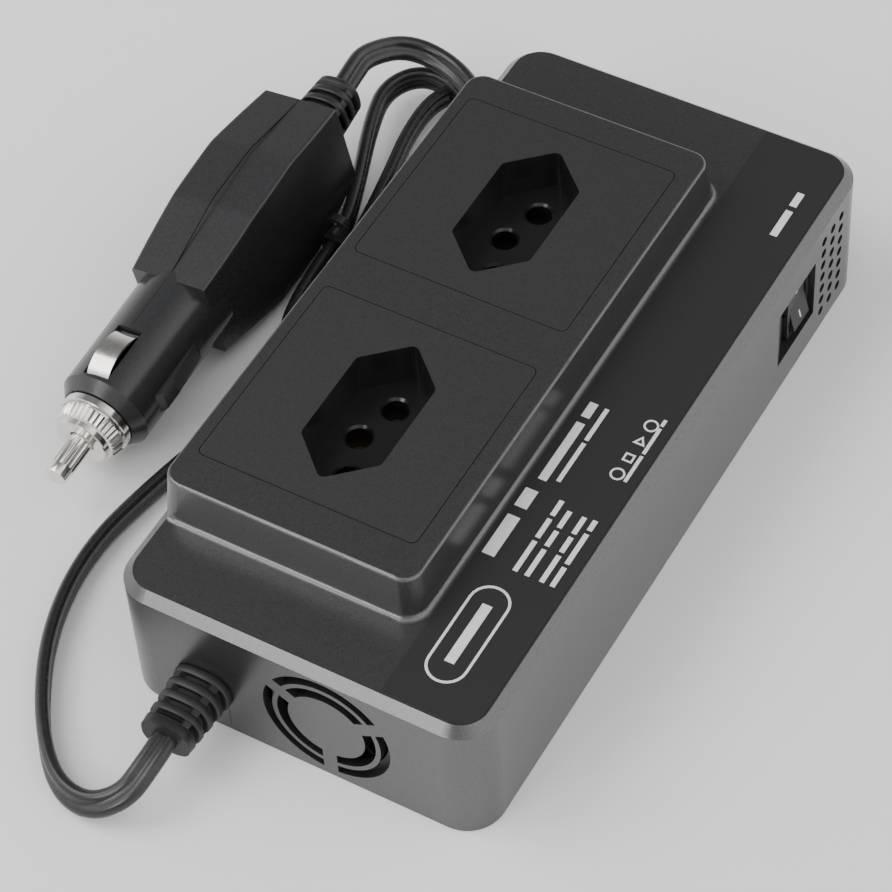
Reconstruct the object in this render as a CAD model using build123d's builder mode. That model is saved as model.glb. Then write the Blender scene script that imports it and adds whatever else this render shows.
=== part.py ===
from build123d import *
import math
import os

os.makedirs("parts", exist_ok=True)

# A car power inverter with two earthed outlets, its input cord and its lighter-socket plug.
# Millimetres. X runs across the casing, Y along it (front is -Y), Z up. The origin is on the
# underside of the casing, at its middle.

# ---------------------------------------------------------------- driving dimensions
CASE_W, CASE_L, CASE_H = 82.0, 168.0, 33.0
SEAM_Z = 1.0                      # lower edge of the top shell
WALL = 2.2
CORNER_R = 8.0
TOP_CHAMFER = 2.0
ROOF_Z = CASE_H - WALL            # underside of the low roof

BLOCK_TOP = 43.2                  # top of the raised outlet block
BLOCK_X0, BLOCK_X1 = -40.3, 16.1
BLOCK_Y0, BLOCK_Y1 = -63.9, 61.0
BLOCK_DRAFT = 1.4                 # how far each free side leans out over its height
BLOCK_R = 4.0
BLOCK_FOOT_R = 1.4                # cove where the block meets the roof

OUTLET_X = -12.75
OUTLET_Y = (-30.75, 29.0)
OUTLET_NAMES = ("front", "rear")
INSERT_SIZE, WINDOW_SIZE = 48.9, 49.2
RECESS_L, RECESS_W, RECESS_FLAT = 38.0, 18.2, 21.4
RECESS_DEPTH = 9.8
RECESS_FLOOR = BLOCK_TOP - RECESS_DEPTH
CUP_WALL = 1.6
CUP_BASE = RECESS_FLOOR - 2.6
PIN_PITCH, EARTH_OFFSET, PIN_HOLE_R = 19.0, 3.0, 2.65
PIN_LENGTH = 19.0                 # reach of a mating plug's pins below the recess floor
SLEEVE_R, SLEEVE_BORE_R, SLEEVE_BASE_T = 3.2, 2.45, 0.5
SLEEVE_TOP = 26.5
SLEEVE_FOOT = RECESS_FLOOR - PIN_LENGTH - 0.4
CAVITY_FOOT = SLEEVE_FOOT - SLEEVE_BASE_T - 0.2
BACKING_FOOT = CAVITY_FOOT - 1.2
TAB_FOOT = BACKING_FOOT - 1.1

FAN_X, FAN_Z, FAN_SIZE = 7.0, 16.1, 27.0
FAN_DEPTH = 10.0
GRILLE_RINGS = ((12.1, 14.2), (8.6, 11.0))
SPOKE_WIDTH = 3.2
SPOKE_ANGLES = (30, 150, 270)

VENT_R, VENT_ROWS, VENT_PITCH_Z, VENT_Z0 = 1.1, 7, 3.62, 4.95
VENT_COLUMNS = (64.1, 68.3, 72.3)

SWITCH_Y, SWITCH_Z = 55.1, 16.1
POCKET_W, POCKET_H, POCKET_DEPTH = 10.2, 15.6, 2.6
POCKET_FLOOR_X = CASE_W / 2 - POCKET_DEPTH
PAD_Y0, PAD_Y1 = 41.0, 62.6       # thick pad behind the pocket, clear of the vents
ROCKER_TILT = 8.0
ROCKER_PIVOT_X = 38.0
PIVOT_R, RUNNING_GAP = 0.9, 0.05

GLAND_X, GLAND_Z = -21.0, 12.0
GLAND_SLOT_W = 10.0
GLAND_TIP_Y = -98.5

BOARD_Z, BOARD_T = 5.0, 1.6
BOARD_TOP = BOARD_Z + BOARD_T
BOARD_HOLE_Y, BOARD_HOLE_DX, BOARD_HOLE_DY = 4.0, 64.0, 128.0
SCREW_X, SCREW_Y = 34.0, 76.0
USB_COUNT, USB_PITCH = 4, 15.5
USB_Z = 17.0

CORD_D = 5.0                      # round stand-in for the flat twin cord, 5.6 by 2.9
CORD_Z = 2.8

PLUG_ORIGIN = (-76.6, -5.5, 14.25)  # plug axis at the front of its housing
PLUG_PITCH, PLUG_ROLL = -3.7, 7.6  # nose down, turned about its own axis
HOUSING_L, HOUSING_W, HOUSING_BULGE_W = 55.0, 18.8, 1.3
HOUSING_BREAKS = (20.0, 35.5)     # where the flats above and below meet, behind the front end
HOUSING_END_H, HOUSING_REAR_H = 10.0, 10.7
HOUSING_MID_TOP, HOUSING_MID_UNDER = 14.4, (12.9, 13.6)
HOUSING_MAX_H = 15.0
HOUSING_EDGE_R, HOUSING_BREAK_R = 0.8, 14.0
BARREL_R, BARREL_L = 10.3, 31.7
PLUG_WALL = 2.0
TIP_R, TIP_END = 2.6, 48.7
SPRING_WIRE_R, SPRING_R = 0.4, 2.6


def save(part, name):
    """Label a finished piece and write it as its own STEP."""
    part.part.label = name
    export_step(part.part, f"parts/{name}.step")


def hexagon_points(grow=0.0):
    """Corners of the outlet recess: a long hexagon with a point at each end, grown by an offset."""
    half_w = RECESS_W / 2 + grow
    half_flat = RECESS_FLAT / 2 + grow * 0.45
    half_l = RECESS_L / 2 + grow * 1.35
    return [(half_w, -half_flat), (half_w, half_flat), (0, half_l),
            (-half_w, half_flat), (-half_w, -half_flat), (0, -half_l)]


# ---------------------------------------------------------------- casing
with BuildPart() as top_shell:
    with BuildSketch(Plane.XY.offset(SEAM_Z)):
        RectangleRounded(CASE_W, CASE_L, CORNER_R)
    extrude(amount=CASE_H - SEAM_Z)
    chamfer(top_shell.faces().sort_by(Axis.Z)[-1].edges(), TOP_CHAMFER)
    # raised block, its left side in line with the casing's side
    block_x, block_y = (BLOCK_X0 + BLOCK_X1) / 2, (BLOCK_Y0 + BLOCK_Y1) / 2
    block_w, block_l = BLOCK_X1 - BLOCK_X0, BLOCK_Y1 - BLOCK_Y0
    left_lean = BLOCK_X0 + CASE_W / 2
    with BuildSketch(Plane.XY.offset(CASE_H - TOP_CHAMFER)):
        with Locations((block_x + (BLOCK_DRAFT - left_lean) / 2, block_y)):
            RectangleRounded(block_w + BLOCK_DRAFT + left_lean, block_l + 2 * BLOCK_DRAFT, BLOCK_R)
    with BuildSketch(Plane.XY.offset(BLOCK_TOP)):
        with Locations((block_x, block_y)):
            RectangleRounded(block_w, block_l, BLOCK_R)
    loft()
    # cove at the foot of the block, then softened upper edges
    foot = (top_shell.edges()
            .filter_by_position(Axis.Z, CASE_H - 0.01, CASE_H + 0.01)
            .filter_by_position(Axis.X, BLOCK_X0 + 4, BLOCK_X1 + 3)
            .filter_by_position(Axis.Y, BLOCK_Y0 - 3, BLOCK_Y1 + 3))
    fillet(foot, BLOCK_FOOT_R)
    fillet(top_shell.faces().sort_by(Axis.Z)[-1].edges(), 0.7)
    # hollow of the casing and of the block
    with BuildSketch(Plane.XY.offset(SEAM_Z)):
        RectangleRounded(CASE_W - 2 * WALL, CASE_L - 2 * WALL, CORNER_R - WALL)
    extrude(amount=ROOF_Z - SEAM_Z, mode=Mode.SUBTRACT)
    with BuildSketch(Plane.XY.offset(ROOF_Z - 1)):
        with Locations((block_x, block_y)):
            RectangleRounded(block_w - 2 * WALL, block_l - 2 * WALL, 2)
    extrude(amount=BLOCK_TOP - WALL - ROOF_Z + 1, mode=Mode.SUBTRACT)
    # bosses that take the casing screws
    with BuildSketch(Plane.XY.offset(2.4)):
        with GridLocations(2 * SCREW_X, 2 * SCREW_Y, 2, 2):
            Circle(3.4)
    extrude(amount=ROOF_Z - 2.4 + 0.5)
    with BuildSketch(Plane.XY.offset(2.4)):
        with GridLocations(2 * SCREW_X, 2 * SCREW_Y, 2, 2):
            Circle(1.2)
    extrude(amount=12, mode=Mode.SUBTRACT)
    # windows for the outlet inserts
    with BuildSketch(Plane.XY.offset(BLOCK_TOP - WALL - 1)):
        with Locations(*[(OUTLET_X, y) for y in OUTLET_Y]):
            RectangleRounded(WINDOW_SIZE, WINDOW_SIZE, 1.6)
    extrude(amount=WALL + 2, mode=Mode.SUBTRACT)
    # fan grille in the front wall: two rings of slots, cut by three spokes
    with BuildSketch(Plane.XZ.offset(CASE_L / 2 + 1)):
        with Locations((FAN_X, FAN_Z)):
            for inner, outer in GRILLE_RINGS:
                Circle(outer)
                Circle(inner, mode=Mode.SUBTRACT)
        for angle in SPOKE_ANGLES:
            reach = GRILLE_RINGS[0][1] / 2
            spoke_x = FAN_X + reach * math.cos(math.radians(angle))
            spoke_z = FAN_Z + reach * math.sin(math.radians(angle))
            with Locations(Location((spoke_x, spoke_z, 0), (0, 0, angle))):
                Rectangle(2 * reach + 4, SPOKE_WIDTH, mode=Mode.SUBTRACT)
    extrude(amount=-(WALL + 2), mode=Mode.SUBTRACT)
    # slot that the cord gland slides into from below
    with BuildSketch(Plane.XZ.offset(CASE_L / 2 + 1)):
        with Locations((GLAND_X, GLAND_Z)):
            Circle(GLAND_SLOT_W / 2)
        with Locations((GLAND_X, (GLAND_Z + SEAM_Z - 1) / 2)):
            Rectangle(GLAND_SLOT_W, GLAND_Z - SEAM_Z + 1)
    extrude(amount=-(WALL + 2), mode=Mode.SUBTRACT)
    # vents in the right wall
    with BuildSketch(Plane.YZ.offset(CASE_W / 2 - WALL - 1)):
        for column in VENT_COLUMNS:
            with Locations(*[(column, VENT_Z0 + row * VENT_PITCH_Z) for row in range(VENT_ROWS)]):
                Circle(VENT_R)
    extrude(amount=WALL + 2, mode=Mode.SUBTRACT)
    # switch pocket: a thick pad inside the wall, the pocket, its sloped finger side and the cut-out
    with BuildSketch(Plane.YZ.offset(POCKET_FLOOR_X - 1.6)):
        with Locations(((PAD_Y0 + PAD_Y1) / 2, SWITCH_Z)):
            Rectangle(PAD_Y1 - PAD_Y0, POCKET_H + 3)
    extrude(amount=CASE_W / 2 - WALL - POCKET_FLOOR_X + 1.6 + 0.2)
    with BuildSketch(Plane.YZ.offset(POCKET_FLOOR_X)):
        with Locations((SWITCH_Y, SWITCH_Z)):
            Rectangle(POCKET_W, POCKET_H)
    extrude(amount=POCKET_DEPTH + 1, mode=Mode.SUBTRACT)
    ramp_y = SWITCH_Y - POCKET_W / 2
    with BuildSketch(Plane.XY.offset(SWITCH_Z - POCKET_H / 2)):
        with BuildLine():
            Polyline((POCKET_FLOOR_X, ramp_y + 0.1), (CASE_W / 2 + 1, ramp_y + 0.1),
                     (CASE_W / 2 + 1, ramp_y - 9), (CASE_W / 2, ramp_y - 7), close=True)
        make_face()
    extrude(amount=POCKET_H, mode=Mode.SUBTRACT)
    with BuildSketch(Plane.YZ.offset(POCKET_FLOOR_X - 3)):
        with Locations((SWITCH_Y, SWITCH_Z)):
            Rectangle(9.0, 14.0)
    extrude(amount=4, mode=Mode.SUBTRACT)
    # windows of the charging ports in the rear wall
    with BuildSketch(Plane.XZ.offset(-CASE_L / 2 + WALL + 1)):
        with Locations((0, USB_Z + 2.85)):
            with GridLocations(USB_PITCH, 1, USB_COUNT, 1):
                Rectangle(13.5, 6.0)
    extrude(amount=-(WALL + 2), mode=Mode.SUBTRACT)
save(top_shell, "top_shell")

with BuildPart() as bottom_cover:
    with BuildSketch():
        RectangleRounded(CASE_W, CASE_L, CORNER_R)
    extrude(amount=SEAM_Z)
    with BuildSketch(Plane.XY.offset(SEAM_Z)):
        RectangleRounded(CASE_W - 2 * WALL - 0.4, CASE_L - 2 * WALL - 0.4, CORNER_R - WALL - 0.2)
    extrude(amount=1.4)
    # tongue that closes the gland slot from below
    with BuildSketch(Plane.XY.offset(SEAM_Z)):
        with Locations((GLAND_X, -CASE_L / 2 + WALL / 2)):
            Rectangle(GLAND_SLOT_W - 0.2, WALL)
    extrude(amount=GLAND_Z - 4.5 - SEAM_Z)
    # board bosses
    with BuildSketch(Plane.XY.offset(2.4)):
        with Locations((0, BOARD_HOLE_Y)):
            with GridLocations(BOARD_HOLE_DX, BOARD_HOLE_DY, 2, 2):
                Circle(3)
    extrude(amount=BOARD_Z - 2.4)
    with BuildSketch(Plane.XY.offset(1.4)):
        with Locations((0, BOARD_HOLE_Y)):
            with GridLocations(BOARD_HOLE_DX, BOARD_HOLE_DY, 2, 2):
                Circle(1.05)
    extrude(amount=BOARD_Z, mode=Mode.SUBTRACT)
    # counterbored screw holes, pad recesses
    with Locations(Plane.XY.offset(0).rotated((180, 0, 0))):
        with GridLocations(2 * SCREW_X, 2 * SCREW_Y, 2, 2):
            CounterBoreHole(1.6, 3.2, 1.2)
    with BuildSketch():
        with GridLocations(56, 124, 2, 2):
            Circle(5)
    extrude(amount=0.8, mode=Mode.SUBTRACT)
    # air slots under the board
    with BuildSketch():
        with Locations((0, 30)):
            with GridLocations(1, 6, 1, 5):
                SlotOverall(30, 2.4)
    extrude(amount=3, mode=Mode.SUBTRACT)
save(bottom_cover, "bottom_cover")

with BuildPart() as rubber_pads:
    with BuildSketch():
        with GridLocations(56, 124, 2, 2):
            Circle(4.9)
    extrude(amount=0.8)
save(rubber_pads, "rubber_pads")

with BuildPart() as casing_screws:
    with BuildSketch(Plane.XY.offset(0.2)):
        with GridLocations(2 * SCREW_X, 2 * SCREW_Y, 2, 2):
            Circle(3.0)
    extrude(amount=1.0)
    with BuildSketch(Plane.XY.offset(1.2)):
        with GridLocations(2 * SCREW_X, 2 * SCREW_Y, 2, 2):
            Circle(1.15)
    extrude(amount=11)
    with BuildSketch(Plane.XY.offset(0.2)):
        with GridLocations(2 * SCREW_X, 2 * SCREW_Y, 2, 2):
            Rectangle(3.6, 0.7)
            Rectangle(0.7, 3.6)
    extrude(amount=0.7, mode=Mode.SUBTRACT)
save(casing_screws, "casing_screws")

FILM_X0, FILM_X1 = 18.9, CASE_W / 2 - TOP_CHAMFER - 0.4
FILM_HALF_L = CASE_L / 2 - TOP_CHAMFER - 0.4
with BuildPart() as label_panel:
    with BuildSketch(Plane.XY.offset(CASE_H)):
        with BuildLine():
            right = Line((FILM_X1, -FILM_HALF_L + 5), (FILM_X1, FILM_HALF_L - 5))
            back_corner = TangentArc(right @ 1, (FILM_X1 - 5, FILM_HALF_L), tangent=right % 1)
            Line(back_corner @ 1, (FILM_X0, FILM_HALF_L))
            Line((FILM_X0, FILM_HALF_L), (FILM_X0, -FILM_HALF_L))
            front = Line((FILM_X0, -FILM_HALF_L), (FILM_X1 - 5, -FILM_HALF_L))
            TangentArc(front @ 1, right @ 0, tangent=front % 1)
        make_face()
    extrude(amount=0.25)
save(label_panel, "label_panel")

# ---------------------------------------------------------------- outlets
for outlet, outlet_y in zip(OUTLET_NAMES, OUTLET_Y):
    pins = [(OUTLET_X, outlet_y + PIN_PITCH / 2), (OUTLET_X, outlet_y - PIN_PITCH / 2),
            (OUTLET_X - EARTH_OFFSET, outlet_y)]
    with BuildPart() as insert:
        with BuildSketch(Plane.XY.offset(BLOCK_TOP - WALL)):
            with Locations((OUTLET_X, outlet_y)):
                RectangleRounded(INSERT_SIZE, INSERT_SIZE, 1.5)
        extrude(amount=WALL)
        with BuildSketch(Plane.XY.offset(BLOCK_TOP - WALL - 1.2)):
            with Locations((OUTLET_X, outlet_y)):
                Rectangle(50.2, 52)
        extrude(amount=1.2)
        with BuildSketch(Plane.XY.offset(CUP_BASE)):
            with Locations((OUTLET_X, outlet_y)):
                Polygon(*hexagon_points(CUP_WALL), align=None)
        extrude(amount=BLOCK_TOP - WALL - CUP_BASE)
        with BuildSketch(Plane.XY.offset(RECESS_FLOOR)):
            with Locations((OUTLET_X, outlet_y)):
                Polygon(*hexagon_points(), align=None)
        extrude(amount=RECESS_DEPTH, mode=Mode.SUBTRACT)
        uprights = (insert.edges().filter_by(Axis.Z)
                    .filter_by_position(Axis.Z, RECESS_FLOOR + 4, RECESS_FLOOR + 6))
        fillet(uprights.filter_by(lambda e: abs(e.length - RECESS_DEPTH) < 0.01), 1.6)
        with BuildSketch(Plane.XY.offset(CUP_BASE)):
            with Locations(*pins):
                Circle(PIN_HOLE_R)
        extrude(amount=RECESS_FLOOR - CUP_BASE, mode=Mode.SUBTRACT)
        mouths = (insert.edges().filter_by(GeomType.CIRCLE)
                  .filter_by_position(Axis.Z, RECESS_FLOOR - 0.01, RECESS_FLOOR + 0.01)
                  .filter_by(lambda e: abs(e.radius - PIN_HOLE_R) < 0.01))
        chamfer(mouths, 0.5)
    save(insert, f"outlet_insert_{outlet}")

    with BuildPart() as sleeves:
        with BuildSketch(Plane.XY.offset(SLEEVE_FOOT)):
            with Locations(*pins):
                Circle(SLEEVE_R)
                Circle(SLEEVE_BORE_R, mode=Mode.SUBTRACT)
        extrude(amount=SLEEVE_TOP - SLEEVE_FOOT)
        with BuildSketch(Plane.XY.offset(SLEEVE_FOOT - SLEEVE_BASE_T)):
            with Locations(*pins):
                Circle(SLEEVE_R)
        extrude(amount=SLEEVE_BASE_T)
        with BuildSketch(Plane.XY.offset(TAB_FOOT)):
            with Locations(*pins):
                Rectangle(2.6, 0.8)
        extrude(amount=SLEEVE_FOOT - SLEEVE_BASE_T - TAB_FOOT)
    save(sleeves, f"outlet_contacts_{outlet}")

    with BuildPart() as backing:
        with BuildSketch(Plane.XY.offset(BACKING_FOOT)):
            with Locations((OUTLET_X - 1, outlet_y)):
                RectangleRounded(24, 34, 2)
        extrude(amount=CUP_BASE - BACKING_FOOT)
        with BuildSketch(Plane.XY.offset(CAVITY_FOOT)):
            with Locations(*pins):
                Circle(SLEEVE_R + 0.15)
        extrude(amount=CUP_BASE - CAVITY_FOOT, mode=Mode.SUBTRACT)
        with BuildSketch(Plane.XY.offset(BACKING_FOOT)):
            with Locations(*pins):
                Rectangle(3.0, 1.2)
        extrude(amount=CAVITY_FOOT - BACKING_FOOT, mode=Mode.SUBTRACT)
    save(backing, f"outlet_backing_{outlet}")

# ---------------------------------------------------------------- fan
fan_plane = Plane(origin=(FAN_X, -CASE_L / 2 + WALL, FAN_Z), x_dir=(1, 0, 0), z_dir=(0, 1, 0))
SHAFT_R = 1.0
with BuildPart() as fan_frame:
    with BuildSketch(fan_plane):
        RectangleRounded(FAN_SIZE, FAN_SIZE, 2.5)
        Circle(12.5, mode=Mode.SUBTRACT)
        with GridLocations(22, 22, 2, 2):
            Circle(1.3, mode=Mode.SUBTRACT)
    extrude(amount=FAN_DEPTH)
    with BuildSketch(fan_plane.offset(FAN_DEPTH - 1.2)):
        Circle(6.6)
        with PolarLocations(9.6, 4, 45):
            Rectangle(7.0, 2.0)
    extrude(amount=1.2)
    with BuildSketch(fan_plane.offset(4.0)):
        Circle(2.2)
    extrude(amount=FAN_DEPTH - 4.0)
    with BuildSketch(fan_plane.offset(4.0)):
        Circle(SHAFT_R + RUNNING_GAP)
    extrude(amount=FAN_DEPTH - 4.8, mode=Mode.SUBTRACT)
save(fan_frame, "fan_frame")

with BuildPart() as fan_rotor:
    with BuildSketch(fan_plane.offset(1.0)):
        Circle(7.0)
    extrude(amount=7.2)
    chamfer(fan_rotor.faces().sort_by(Axis.Y)[0].edges(), 0.6)
    with BuildSketch(fan_plane.offset(2.2)):
        Circle(6.1)
    extrude(amount=6.2, mode=Mode.SUBTRACT)
    with BuildSketch(fan_plane.offset(2.0)):
        Circle(SHAFT_R)
    extrude(amount=6.8)
    with BuildSketch(fan_plane.offset(1.8)):
        with PolarLocations(9.2, 7):
            Rectangle(5.2, 1.0)
    extrude(amount=6.0)
save(fan_rotor, "fan_rotor")

with BuildPart() as fan_stator:
    with BuildSketch(fan_plane.offset(3.4)):
        Circle(5.5)
        with PolarLocations(4.6, 4):
            Rectangle(2.6, 0.7, mode=Mode.SUBTRACT)
        Circle(2.2, mode=Mode.SUBTRACT)
    extrude(amount=4.4)
save(fan_stator, "fan_stator")

with BuildPart() as fan_screws:
    with BuildSketch(fan_plane):
        with GridLocations(22, 22, 2, 2):
            Circle(1.2)
    extrude(amount=FAN_DEPTH)
    with BuildSketch(fan_plane.offset(FAN_DEPTH)):
        with GridLocations(22, 22, 2, 2):
            Circle(2.1)
    extrude(amount=1.2)
save(fan_screws, "fan_screws")

# ---------------------------------------------------------------- rocker switch
with BuildPart() as switch_body:
    with BuildSketch(Plane.YZ.offset(POCKET_FLOOR_X)):
        with Locations((SWITCH_Y, SWITCH_Z)):
            RectangleRounded(9.8, 15.0, 0.8)
    extrude(amount=1.2)
    with BuildSketch(Plane.YZ.offset(POCKET_FLOOR_X - 11)):
        with Locations((SWITCH_Y, SWITCH_Z)):
            Rectangle(8.8, 13.8)
    extrude(amount=11)
    with BuildSketch(Plane.YZ.offset(POCKET_FLOOR_X - 5)):
        with Locations((SWITCH_Y, SWITCH_Z)):
            Rectangle(7.6, 13.0)
    extrude(amount=7, mode=Mode.SUBTRACT)
    with BuildSketch(Plane.XZ.offset(-(SWITCH_Y - 5))):
        with Locations((ROCKER_PIVOT_X, SWITCH_Z)):
            Circle(PIVOT_R + RUNNING_GAP)
    extrude(amount=-10, mode=Mode.SUBTRACT)
save(switch_body, "switch_body")

with BuildPart() as power_rocker:
    rocker_frame = Location((ROCKER_PIVOT_X, SWITCH_Z, 0), (0, 0, ROCKER_TILT))
    with BuildSketch(Plane.XZ.offset(-SWITCH_Y)):
        with Locations(rocker_frame):
            Polygon((-2.6, -2.2), (-0.6, -5.7), (1.9, -5.9), (1.3, 0), (1.9, 5.9), (-0.6, 5.7),
                    (-2.6, 2.2), align=None)
    extrude(amount=3.5, both=True)
    with BuildSketch(Plane.XZ.offset(-SWITCH_Y)):
        with Locations((ROCKER_PIVOT_X, SWITCH_Z)):
            Circle(PIVOT_R)
    extrude(amount=4.2, both=True)
save(power_rocker, "power_rocker")

with BuildPart() as switch_terminals:
    with BuildSketch(Plane.YZ.offset(POCKET_FLOOR_X - 18)):
        with Locations((SWITCH_Y, SWITCH_Z - 3.5), (SWITCH_Y, SWITCH_Z + 3.5)):
            Rectangle(4.8, 0.8)
    extrude(amount=7)
save(switch_terminals, "switch_terminals")

# ---------------------------------------------------------------- electronics
BOARD_W, BOARD_L, BOARD_Y = 72.0, 140.0, 2.0
with BuildPart() as main_board:
    with BuildSketch(Plane.XY.offset(BOARD_Z)):
        with Locations((0, BOARD_Y)):
            RectangleRounded(BOARD_W, BOARD_L, 2)
        with Locations((0, BOARD_HOLE_Y)):
            with GridLocations(BOARD_HOLE_DX, BOARD_HOLE_DY, 2, 2):
                Circle(1.3, mode=Mode.SUBTRACT)
    extrude(amount=BOARD_T)
save(main_board, "main_board")

with BuildPart() as board_screws:
    with BuildSketch(Plane.XY.offset(BOARD_TOP)):
        with Locations((0, BOARD_HOLE_Y)):
            with GridLocations(BOARD_HOLE_DX, BOARD_HOLE_DY, 2, 2):
                Circle(2.4)
    extrude(amount=1.5)
    with BuildSketch(Plane.XY.offset(BOARD_TOP)):
        with Locations((0, BOARD_HOLE_Y)):
            with GridLocations(BOARD_HOLE_DX, BOARD_HOLE_DY, 2, 2):
                Circle(1.0)
    extrude(amount=-4.6)
save(board_screws, "board_screws")

TRAFO_X, TRAFO_Y, TRAFO_W, TRAFO_L, TRAFO_H = 25.0, -38.0, 22.0, 30.0, 21.0
with BuildPart() as transformer_core:
    with BuildSketch(Plane.XY.offset(BOARD_TOP + 1)):
        with Locations((TRAFO_X, TRAFO_Y)):
            Rectangle(TRAFO_W, TRAFO_L)
            with GridLocations(1, 18, 1, 2):
                Rectangle(TRAFO_W + 1, 6.4, mode=Mode.SUBTRACT)
    extrude(amount=TRAFO_H - 5)
    with BuildSketch(Plane.XY.offset(BOARD_TOP + TRAFO_H - 4)):
        with Locations((TRAFO_X, TRAFO_Y)):
            Rectangle(TRAFO_W, TRAFO_L)
    extrude(amount=4)
save(transformer_core, "transformer_core")

with BuildPart() as transformer_winding:
    with BuildSketch(Plane.XY.offset(BOARD_TOP + 0.4)):
        with Locations((TRAFO_X, TRAFO_Y)):
            RectangleRounded(TRAFO_W + 4, 24.2, 2)
            Rectangle(TRAFO_W + 0.2, 11.8, mode=Mode.SUBTRACT)
    extrude(amount=TRAFO_H - 5.2)
save(transformer_winding, "transformer_winding")

CHOKE_X, CHOKE_Y, CHOKE_TURNS = 19.5, -10.0, 14
with BuildPart() as choke_core:
    with BuildSketch(Plane.XY.offset(BOARD_TOP + 3)):
        with Locations((CHOKE_X, CHOKE_Y)):
            Circle(8)
            Circle(4.4, mode=Mode.SUBTRACT)
    extrude(amount=7)
save(choke_core, "choke_core")

with BuildPart() as choke_winding:
    with BuildSketch(Plane.XY.offset(BOARD_TOP)):
        with Locations((CHOKE_X, CHOKE_Y)):
            with PolarLocations(8.9, CHOKE_TURNS):
                Rectangle(1.4, 1.4)
            with PolarLocations(3.5, CHOKE_TURNS):
                Rectangle(1.4, 1.2)
    extrude(amount=12)
    with BuildSketch(Plane.XY.offset(BOARD_TOP + 10.5)):
        with Locations((CHOKE_X, CHOKE_Y)):
            with PolarLocations(6.2, CHOKE_TURNS):
                Rectangle(6.8, 1.2)
    extrude(amount=1.5)
save(choke_winding, "choke_winding")

with BuildPart() as input_capacitors:
    with BuildSketch(Plane.XY.offset(BOARD_TOP)):
        with Locations((4, -61.5), (14, -61.5), (23.8, -61.5)):
            Circle(4.6)
    extrude(amount=20)
    fillet(input_capacitors.faces().filter_by(GeomType.PLANE).group_by(Axis.Z)[-1].edges(), 0.6)
save(input_capacitors, "input_capacitors")

with BuildPart() as high_voltage_capacitor:
    with BuildSketch(Plane.XY.offset(BOARD_TOP)):
        with Locations((21, 14)):
            Circle(8)
    extrude(amount=22.5)
    fillet(high_voltage_capacitor.faces().sort_by(Axis.Z)[-1].edges(), 0.8)
save(high_voltage_capacitor, "high_voltage_capacitor")

with BuildPart() as heat_sink_input:
    with BuildSketch(Plane.XY.offset(BOARD_TOP + 1)):
        with Locations((-36.2, 0)):
            Rectangle(2.4, 104)
        with Locations((-33.6, 0)):
            with GridLocations(1, 8, 1, 13):
                Rectangle(3.4, 1.4)
    extrude(amount=20)
save(heat_sink_input, "heat_sink_input")

with BuildPart() as heat_sink_output:
    with BuildSketch(Plane.XY.offset(BOARD_TOP + 1)):
        with Locations((36.2, 18)):
            Rectangle(2.4, 44)
    extrude(amount=20)
save(heat_sink_output, "heat_sink_output")

with BuildPart() as input_transistors:
    with BuildSketch(Plane.XY.offset(BOARD_TOP + 2)):
        with Locations((-29.5, 0)):
            with GridLocations(1, 24, 1, 4):
                Rectangle(4.6, 10)
    extrude(amount=9.5)
    with BuildSketch(Plane.XY.offset(BOARD_TOP)):
        with Locations((-29.5, 0)):
            with GridLocations(1, 24, 1, 4):
                with GridLocations(1, 2.5, 1, 3):
                    Rectangle(0.6, 1.0)
    extrude(amount=2)
save(input_transistors, "input_transistors")

with BuildPart() as output_transistors:
    with BuildSketch(Plane.XY.offset(BOARD_TOP + 2)):
        with Locations((32.7, 18)):
            with GridLocations(1, 11.4, 1, 4):
                Rectangle(4.6, 10)
    extrude(amount=15)
    with BuildSketch(Plane.XY.offset(BOARD_TOP)):
        with Locations((32.7, 18)):
            with GridLocations(1, 11.4, 1, 4):
                with GridLocations(1, 2.5, 1, 3):
                    Rectangle(0.6, 1.0)
    extrude(amount=2)
save(output_transistors, "output_transistors")

with BuildPart() as controller_chips:
    with BuildSketch(Plane.XY.offset(BOARD_TOP)):
        with Locations((5, -20), (5, 6), (-8, 60)):
            Rectangle(6.4, 19)
    extrude(amount=3.4)
save(controller_chips, "controller_chips")

with BuildPart() as fuse_holder:
    with BuildSketch(Plane.XY.offset(BOARD_TOP)):
        with Locations((-9, -60)):
            Rectangle(14, 12)
            with GridLocations(1, 6, 1, 2):
                Rectangle(11, 2.2, mode=Mode.SUBTRACT)
    extrude(amount=5)
save(fuse_holder, "fuse_holder")

with BuildPart() as board_fuses:
    with BuildSketch(Plane.XY.offset(BOARD_TOP + 0.5)):
        with Locations((-9, -60)):
            with GridLocations(1, 6, 1, 2):
                Rectangle(10.6, 1.8)
    extrude(amount=4.5)
    with BuildSketch(Plane.XY.offset(BOARD_TOP + 5)):
        with Locations((-9, -60)):
            with GridLocations(1, 6, 1, 2):
                Rectangle(12, 3.6)
    extrude(amount=7)
save(board_fuses, "board_fuses")

with BuildPart() as buzzer:
    with BuildSketch(Plane.XY.offset(BOARD_TOP)):
        with Locations((14, 57)):
            Circle(4.5)
    extrude(amount=6)
    with BuildSketch(Plane.XY.offset(BOARD_TOP + 3)):
        with Locations((14, 57)):
            Circle(1)
    extrude(amount=3, mode=Mode.SUBTRACT)
save(buzzer, "buzzer")

# ---------------------------------------------------------------- charging ports, rear
USB_FACE_Y = CASE_L / 2
USB_DEPTH = 14.0
with BuildPart() as usb_board:
    with BuildSketch(Plane.XY.offset(USB_Z - 1.6)):
        with Locations((0, 73)):
            Rectangle(58, 14)
    extrude(amount=1.6)
save(usb_board, "usb_board")

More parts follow.
